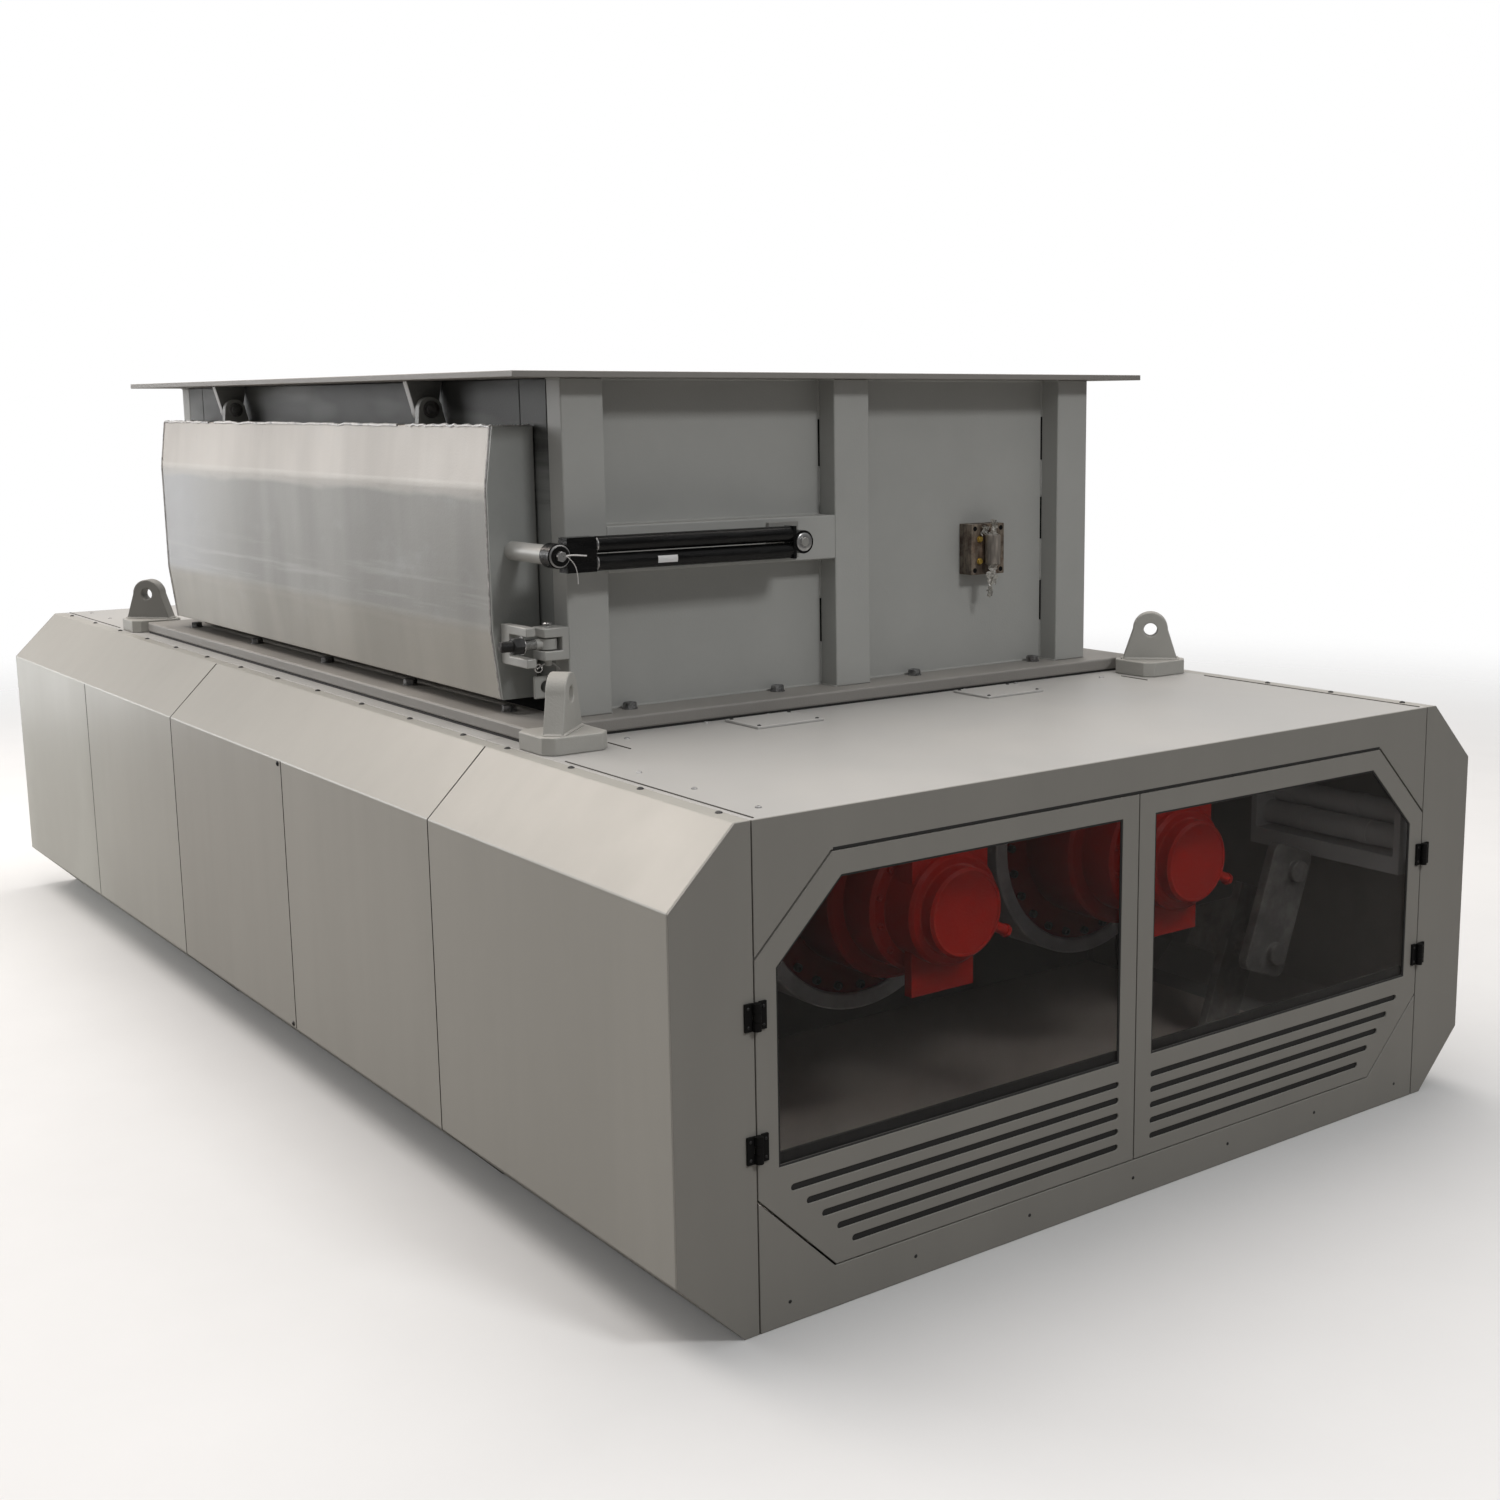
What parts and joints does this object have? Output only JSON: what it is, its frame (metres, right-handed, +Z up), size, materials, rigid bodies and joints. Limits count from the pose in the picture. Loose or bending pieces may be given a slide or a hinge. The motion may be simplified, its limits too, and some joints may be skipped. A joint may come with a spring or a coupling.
{
  "type": "twin-rotor industrial shredder",
  "caption": "Low bevelled steel base with twin cutting rotors and red drives behind smoked windows, under a ribbed feed hopper with a gas-spring side door.",
  "frame": {"origin": "centre of the base's footprint on the floor", "axes": "+X to the drive end with the windows, -Y to the side with the access door, +Z up"},
  "size_m": [4.5165, 2.36, 1.816],
  "materials": {
    "cover_paint": "satin, light warm grey paint",
    "end_paint": "satin grey paint",
    "frame_paint": "satin dark grey paint",
    "smoked_glass": "dark smoked glass",
    "black_plastic": "matte black moulded plastic",
    "hopper_paint": "satin grey paint over welded plate",
    "door_steel": "dull smeared steel with weld marks",
    "bright_steel": "turned bright steel",
    "black_enamel": "gloss black enamel",
    "dark_steel": "dark oiled steel",
    "rusty_plate": "brown rusty steel",
    "grey_plastic": "matte grey plastic",
    "cutter_steel": "worn dark tool steel",
    "red_paint": "satin red paint"
  },
  "bodies": {
    "housing": {"base_rails": "frame_paint", "deck_rails": "frame_paint", "frame_posts": "frame_paint", "cross_beams": "frame_paint", "drive_floor": "frame_paint", "left_covers": "cover_paint", "right_covers": "cover_paint", "window_end_frame": "end_paint", "far_end_cover": "end_paint", "deck_plates": "cover_paint", "access_plates": "cover_paint", "lifting_lugs": "cover_paint", "hinge_bases": "black_plastic", "bottom_flange": "hopper_paint", "top_flange": "hopper_paint", "end_walls": "hopper_paint", "end_posts": "hopper_paint", "spring_rail": "hopper_paint", "rear_wall": "hopper_paint", "rear_ribs": "hopper_paint", "service_posts": "hopper_paint", "service_beams": "hopper_paint", "door_hinge_plates": "door_steel", "door_hinge_pins": "bright_steel", "spring_bracket": "door_steel", "latch_clevis": "door_steel", "lock_plate": "door_steel", "sensor_block": "rusty_plate", "sensor_body": "grey_plastic", "bulkheads": "frame_paint", "chamber_sides": "frame_paint", "left_rotor": "cutter_steel", "right_rotor": "cutter_steel", "far_bearings": "dark_steel", "drive_collars": "dark_steel", "left_drive": "red_paint", "right_drive": "red_paint", "oil_pipes": "dark_steel", "torque_link": "dark_steel"},
    "door": {"door_front": "door_steel", "door_back_plate": "door_steel", "door_end_plates": "door_steel", "door_arms": "door_steel", "door_stub": "bright_steel", "latch_fork": "door_steel"},
    "spring_tube": {"spring_tubes": "black_enamel"},
    "spring_rod": {"spring_rods": "black_enamel"},
    "eye_bolt": {"swing_bolt": "bright_steel", "swing_nut": "dark_steel"},
    "left_window": {"left_leaf": "end_paint", "left_glass": "smoked_glass", "left_hinges": "black_plastic"},
    "right_window": {"right_leaf": "end_paint", "right_glass": "smoked_glass", "right_hinges": "black_plastic"}
  },
  "joints": [
    {"name": "door_hinge", "type": "hinge", "parent": "housing", "child": "door", "pos_m": [-0.055, -0.855, 1.733], "axis": [-1, 0, 0], "range_deg": [0, 80]},
    {"name": "spring_tilt", "type": "hinge", "parent": "housing", "child": "spring_tube", "pos_m": [1.31, -0.219, 1.415], "axis": [-1, 0, 0], "range_deg": [0, 16.72]},
    {"name": "spring_stroke", "type": "slide", "parent": "spring_tube", "child": "spring_rod", "axis": [0, -1, 0], "range_m": [0, 0.3375]},
    {"name": "eye_bolt_swing", "type": "hinge", "parent": "housing", "child": "eye_bolt", "pos_m": [1.214, -0.852, 1.21], "axis": [0, 0, 1], "range_deg": [0, 95]},
    {"name": "left_window_hinge", "type": "hinge", "parent": "housing", "child": "left_window", "pos_m": [2.2585, -1, 0.502], "axis": [0, 0, -1], "range_deg": [0, 105]},
    {"name": "right_window_hinge", "type": "hinge", "parent": "housing", "child": "right_window", "pos_m": [2.2585, 1, 0.502], "axis": [0, 0, 1], "range_deg": [0, 105]}
  ],
  "couplings": [
    {"joint": "spring_tilt", "follows": "door_hinge", "ratio": 0.20774},
    {"joint": "spring_stroke", "follows": "door_hinge", "m_per_rad": 0.24102}
  ]
}
